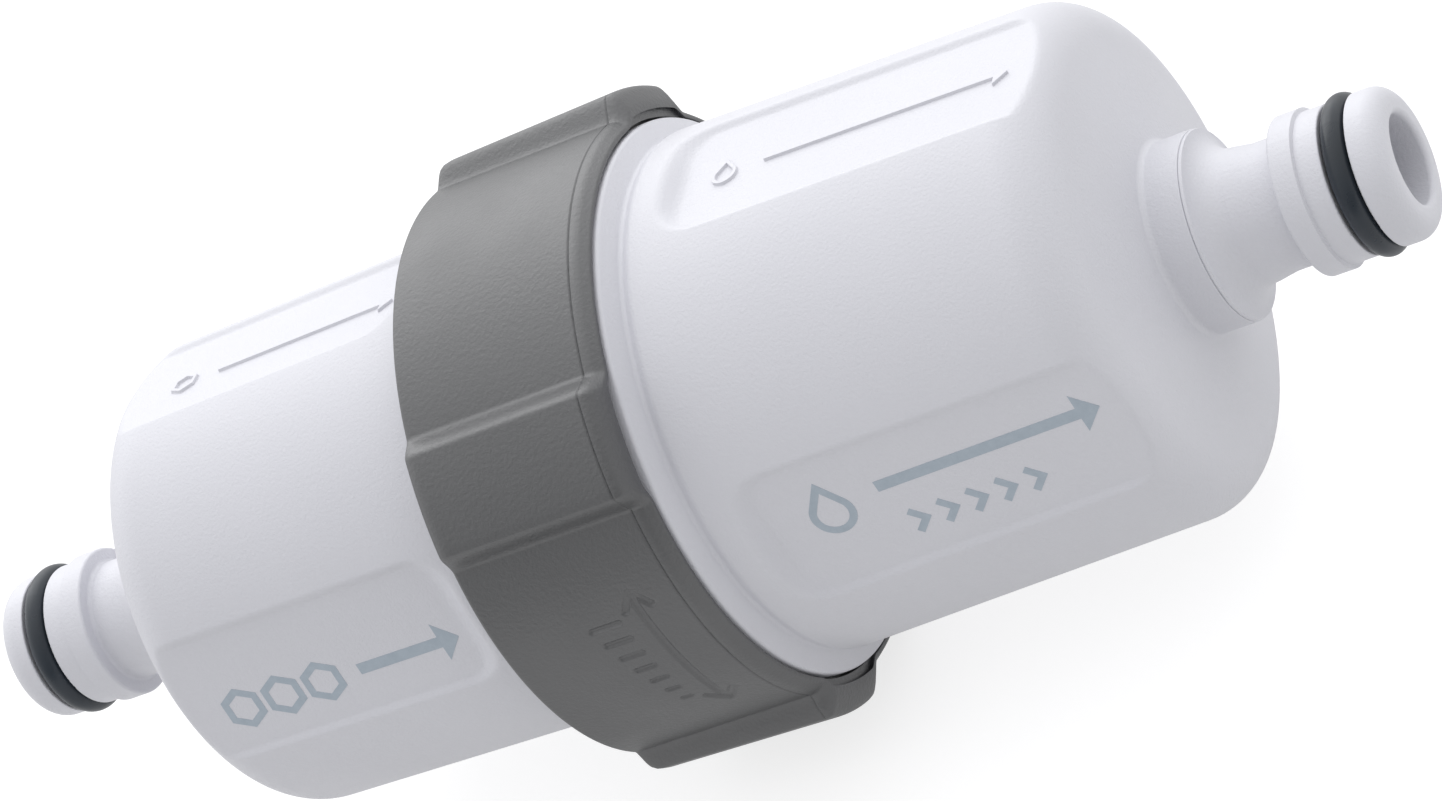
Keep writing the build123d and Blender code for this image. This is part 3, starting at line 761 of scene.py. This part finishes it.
def turn_mark():
    """A two-headed arrow round the nut, beside tick marks that grow towards one end."""
    shaft_x, shaft_end, tip = TURN_MARK_X + 2.4, 9.4, 9.6
    strokes = [([(shaft_x, -shaft_end), (shaft_x, shaft_end)], TURN_MARK_WIDTH)]
    for end in (-1, 1):
        for side in (-1, 1):
            barb = (shaft_x + side * 1.5, end * (tip - 2))
            strokes.append(([barb, (shaft_x, end * tip)], TURN_MARK_WIDTH))
    for number in range(TICK_COUNT):
        v = TICK_PITCH * ((TICK_COUNT - 1) / 2 - number)
        length = 0.8 + 0.4 * number
        strokes.append(([(TURN_MARK_X - 0.4, v), (TURN_MARK_X - 0.4 - length, v)], TICK_WIDTH))
    return strokes


TURN_MARK = turn_mark()


def lobes_relief(x, r, angles):
    """Four grip lobes rounded off at both ends, the rim's fine line and the engraved turn mark."""
    away = np.abs(angle_from(angles * 4, math.radians(180))) / 4
    across = smooth((math.radians(LOBE_FOOT) - away) / math.radians(LOBE_FOOT - LOBE_TOP))
    share = (x - NUT_X[0]) / (NUT_X[1] - NUT_X[0])
    height = LOBE_R[0] + (LOBE_R[1] - LOBE_R[0]) * share - VALLEY_R
    back = np.clip((NUT_X[0] + LOBE_BACK_LENGTH - x) / (LOBE_BACK_LENGTH + 0.25), 0, 1)
    front_length = NUT_X[1] + 0.15 - LOBE_FRONT_START_X
    front = np.clip((x - LOBE_FRONT_START_X) / front_length, 0, 1)
    swell = across * height * np.sqrt(1 - back**2) * np.sqrt(1 - front**LOBE_FRONT_POWER)
    on_face = smooth((r - FACE_START_R) / (VALLEY_R - 0.6 - FACE_START_R))
    rim_line = RIM_LINE_DEPTH * np.exp(-(((x - RIM_LINE_X) / RIM_LINE_WIDTH) ** 2))
    mark = engraved(
        x, angles, TURN_MARK_ANGLE, TURN_MARK, VALLEY_R, TURN_MARK_DEPTH, TURN_MARK_EDGE
    )
    return r + (swell - rim_line - mark) * on_face


MARK_ROWS_REACH, MARK_ROWS_GAP, MARK_ROW_SPACING = 4.4, 4.5, 0.11
LINE_ROWS_REACH, LINE_ROWS_GAP, LINE_ROWS = 0.3, 0.35, 13


def nut_face_rows(outer):
    """Rows along the nut's outside, closer together under the engraved mark and the rim's line."""
    face = subdivide(outer, FACE_SPACING)
    mark_x = np.arange(
        TURN_MARK_X - MARK_ROWS_REACH, TURN_MARK_X + MARK_ROWS_REACH, MARK_ROW_SPACING
    )
    line_x = RIM_LINE_X + np.linspace(-LINE_ROWS_REACH, LINE_ROWS_REACH, LINE_ROWS)
    return (
        [p for p in face if p[0] < TURN_MARK_X - MARK_ROWS_GAP]
        + [np.array([x, VALLEY_R]) for x in mark_x]
        + [p for p in face if TURN_MARK_X + MARK_ROWS_GAP < p[0] < RIM_LINE_X - LINE_ROWS_GAP]
        + [np.array([x, VALLEY_R]) for x in line_x]
        + [p for p in face if p[0] > RIM_LINE_X + LINE_ROWS_GAP]
    )


def nut_shell():
    """The four-lobed union nut with its lip, thread and open mouth."""
    outer = rounded_run(
        [
            (NUT_X[0], NUT_LIP_R),
            (NUT_X[0], VALLEY_R, 0.5),
            (NUT_FRONT_X, VALLEY_R, 1.5),
            (NUT_X[1], NUT_FRONT_R, 0.4),
            (NUT_X[1], NUT_MOUTH_R, 0.1),
            (NUT_X[1] - NUT_MOUTH_CHAMFER, NUT_MOUTH_R),
        ],
        RING_ARC_STEPS,
    )
    mouth = rounded_run(
        [
            (NUT_X[1] - NUT_MOUTH_CHAMFER, NUT_MOUTH_R),
            (NUT_MOUTH_X, NUT_MOUTH_R),
            (NUT_MOUTH_X, NUT_ROOT_R),
            (THREAD_ROWS_END_X, NUT_ROOT_R),
        ]
    )
    thread_ends = [np.array([x, NUT_ROOT_R]) for x in (THREAD_ROWS_END_X, NUT_THREAD_START_X)]
    thread = subdivide(thread_ends, THREAD_ROW_SPACING)
    lip = rounded_run(
        [
            (NUT_THREAD_START_X, NUT_ROOT_R),
            (NUT_THREAD_END_X, NUT_ROOT_R),
            (NUT_THREAD_END_X, NUT_ROOT_R - THREAD_DEPTH),
            (NUT_LIP_X, NUT_ROOT_R - THREAD_DEPTH),
            (NUT_LIP_X, NUT_LIP_R, 0.3),
            (NUT_X[0], NUT_LIP_R),
        ]
    )
    sections = [
        (nut_face_rows(outer), lobes_relief),
        (mouth, None),
        (thread, thread_relief(NUT_ROOT_R, -THREAD_DEPTH, THREAD_LEAD / 2)),
        (lip, None),
    ]
    ramps = [(45 + 90 * lobe + side * 11, 3.4) for lobe in range(4) for side in (-1, 1)]
    mark_half_angle = math.degrees(TURN_MARK_REACH / VALLEY_R)
    zones = ramps + [(math.degrees(TURN_MARK_ANGLE), mark_half_angle)]
    return turned_mesh("nut_shell", sections, even_and_fine(zones, 1.5, 0.2))


place(outlet_shell(), "outlet_half", "white_housing", WHITE, "outlet_housing")
place(inlet_shell(), "inlet_half", "white_housing", WHITE, "inlet_housing")
place(nut_shell(), "nut", "grey_nut", GREY, "union_nut")
place(fibre_loops(), "outlet_half", "membrane_fibre", FIBRE, "membrane_fibres")
place(fleece_wrap(), "inlet_half", "fleece", FLEECE, "carbon_fleece")

OUTLET_LABEL = (
    drop(centre=(22.5, -0.6), size=2.0, width=0.8)
    + arrow(tail=(28.0, -1.9), tip=52.5, width=1.3, head=2.3)
    + chevrons(first_x=30.0, centre_v=3.4, count=5, pitch=3.2, size=1.35, width=0.8)
)
INLET_LABEL = (
    hexagon(centre=(-48.2, 2.3), size=2.1, width=0.8)
    + hexagon(centre=(-43.2, 2.3), size=2.1, width=0.8)
    + hexagon(centre=(-38.2, 2.3), size=2.1, width=0.8)
    + arrow(tail=(-33.8, 2.3), tip=-21.5, width=1.3, head=2.3)
)
OUTLET_RELIEF = drop(centre=(20.5, 0.8), size=1.2, width=0.6) + arrow(
    tail=(25.0, 0.4), tip=52.0, width=0.8, head=1.5
)
INLET_RELIEF = hexagon(centre=(-47.0, 1.4), size=1.4, width=0.6) + arrow(
    tail=(-42.5, 1.4), tip=-20.5, width=0.8, head=1.4
)
PRINT_CLOCK = 90
PRINTED = {"height": 0.03, "bevel": 0.01, "material": INK}
RAISED = {"height": 0.3, "bevel": 0.12, "material": WHITE}
OUTLET_MARKS = {"wall_r": OUTLET_WALL_R, "clock": OUTLET_PAD_CLOCK}
INLET_MARKS = {"wall_r": INLET_WALL_R, "clock": INLET_PAD_CLOCK}
for name, strokes, body, pad, turn, style, slot in (
    ("outlet_label", OUTLET_LABEL, "outlet_half", OUTLET_MARKS, PRINT_CLOCK, PRINTED, None),
    ("inlet_label", INLET_LABEL, "inlet_half", INLET_MARKS, PRINT_CLOCK, PRINTED, None),
    ("outlet_relief", OUTLET_RELIEF, "outlet_half", OUTLET_MARKS, 0, RAISED, "white_housing"),
    ("inlet_relief", INLET_RELIEF, "inlet_half", INLET_MARKS, 0, RAISED, "white_housing"),
):
    mark = pad_mark(name, strokes, pad["clock"] + turn, pad["wall_r"], **style)
    place(mark, body, slot, style["material"])

FINISHES = {
    "white_housing": WHITE,
    "grey_nut": GREY,
    "black_rubber": RUBBER,
    "inner_plastic": INNER,
    "membrane_fibre": FIBRE,
    "potting_resin": RESIN,
    "activated_carbon": CARBON,
    "fleece": FLEECE,
}
for entry in frame["record"]["subparts"]:
    node = frame["nodes"][entry["node"]]
    node.data.materials.clear()
    node.data.materials.append(FINISHES[entry["material_slot"]])


# ---------------------------------------------------------------- studio and camera


def look_at(obj, location, target):
    """Aim an object's -Z axis at a point."""
    obj.location = location
    obj.rotation_euler = (target - location).to_track_quat("-Z", "Y").to_euler()


def area_light(name, location, size, power):
    """A soft square light aimed at the filter's middle."""
    lamp = bpy.data.lights.new(name, "AREA")
    lamp.size, lamp.energy = size, power
    holder = bpy.data.objects.new(name, lamp)
    bpy.context.scene.collection.objects.link(holder)
    look_at(holder, location, Vector((0, 0, 0)))
    return holder


CAMERA_TURN, CAMERA_LIFT, CAMERA_ROLL = 34.15, 38.94, -42.87
CAMERA_DISTANCE, CAMERA_LENS, CAMERA_SENSOR = 0.5744, 140.8, 36
CAMERA_AIM = (3.76, 1.76, -0.97)


def studio_camera():
    """A long lens above and in front of the outlet end, rolled so the filter climbs rightwards."""
    lens = bpy.data.cameras.new("camera")
    lens.lens, lens.sensor_width = CAMERA_LENS, CAMERA_SENSOR
    holder = bpy.data.objects.new("camera", lens)
    bpy.context.scene.collection.objects.link(holder)
    turn, lift, roll = (math.radians(a) for a in (CAMERA_TURN, CAMERA_LIFT, CAMERA_ROLL))
    view = Vector(
        (-math.cos(lift) * math.sin(turn), math.cos(lift) * math.cos(turn), -math.sin(lift))
    )
    aim = Vector(CAMERA_AIM) * MM
    straight = view.to_track_quat("-Z", "Y").to_matrix().to_4x4()
    holder.matrix_world = (
        Matrix.Translation(aim - view * CAMERA_DISTANCE)
        @ straight
        @ Matrix.Rotation(roll, 4, "Z")
    )
    bpy.context.scene.camera = holder
    return holder


camera = studio_camera()
picture_up = camera.matrix_world.to_3x3() @ Vector((0, 1, 0))
flow = Vector((1, 0, 0))

area_light("top_softbox", location=picture_up * 0.62 - flow * 0.4, size=0.6, power=0.85)


FLOOR_REACH, FLOOR_GAP = 3.0, 0.0002
FLOOR_GLOW, FLOOR_GLOW_TO_CAMERA = 0.4, 0.34


def floor():
    """A wide pale floor that glows a little, and more to the camera, like a lit table."""
    mesh = bpy.data.meshes.new("floor")
    level = NUT_BOX[0][2] - FLOOR_GAP
    sides = ((-1, -1), (1, -1), (1, 1), (-1, 1))
    corners = [(x * FLOOR_REACH, y * FLOOR_REACH, level) for x, y in sides]
    mesh.from_pydata(corners, [], [(0, 1, 2, 3)])
    made = bpy.data.objects.new("floor", mesh)
    bpy.context.scene.collection.objects.link(made)
    material, tree, shader = new_material("floor_paper", (0.4, 0.4, 0.4), 0.9)
    tone = object_noise(tree, 3, 2, 0.5)
    tree.links.new(ramp(tree, tone, 0.38, 0.4), shader.inputs["Base Color"])
    seen = add_node(tree, "ShaderNodeLightPath")
    glow = add_node(tree, "ShaderNodeMath", operation="MULTIPLY_ADD")
    glow.inputs[1].default_value = FLOOR_GLOW_TO_CAMERA
    glow.inputs[2].default_value = FLOOR_GLOW
    tree.links.new(seen.outputs["Is Camera Ray"], glow.inputs[0])
    tree.links.new(glow.outputs["Value"], shader.inputs["Emission Strength"])
    shader.inputs["Emission Color"].default_value = (1, 1, 1, 1)
    shader.inputs["Specular IOR Level"].default_value = 0.0
    mesh.materials.append(material)


def sky(brightest, dimmest, towards):
    """Even studio light that is brighter from one side and dim from the other."""
    world = bpy.data.worlds.new("studio")
    bpy.context.scene.world = world
    world.use_nodes = True
    tree = world.node_tree
    place_node = add_node(tree, "ShaderNodeTexCoord")
    facing = add_node(tree, "ShaderNodeVectorMath", operation="DOT_PRODUCT")
    facing.inputs[1].default_value = towards
    spread = add_node(tree, "ShaderNodeMapRange")
    spread.inputs["From Min"].default_value = -1.0
    spread.inputs["From Max"].default_value = 1.0
    spread.inputs["To Min"].default_value = dimmest
    spread.inputs["To Max"].default_value = brightest
    tree.links.new(place_node.outputs["Generated"], facing.inputs[0])
    tree.links.new(facing.outputs["Value"], spread.inputs["Value"])
    tree.links.new(spread.outputs["Result"], tree.nodes["Background"].inputs["Strength"])
    tree.nodes["Background"].inputs["Color"].default_value = (0.98, 0.985, 1, 1)


floor()
sky(brightest=1.66, dimmest=0.03, towards=picture_up * 0.95 - flow * 0.5)
bpy.context.scene.view_settings.view_transform = "Standard"
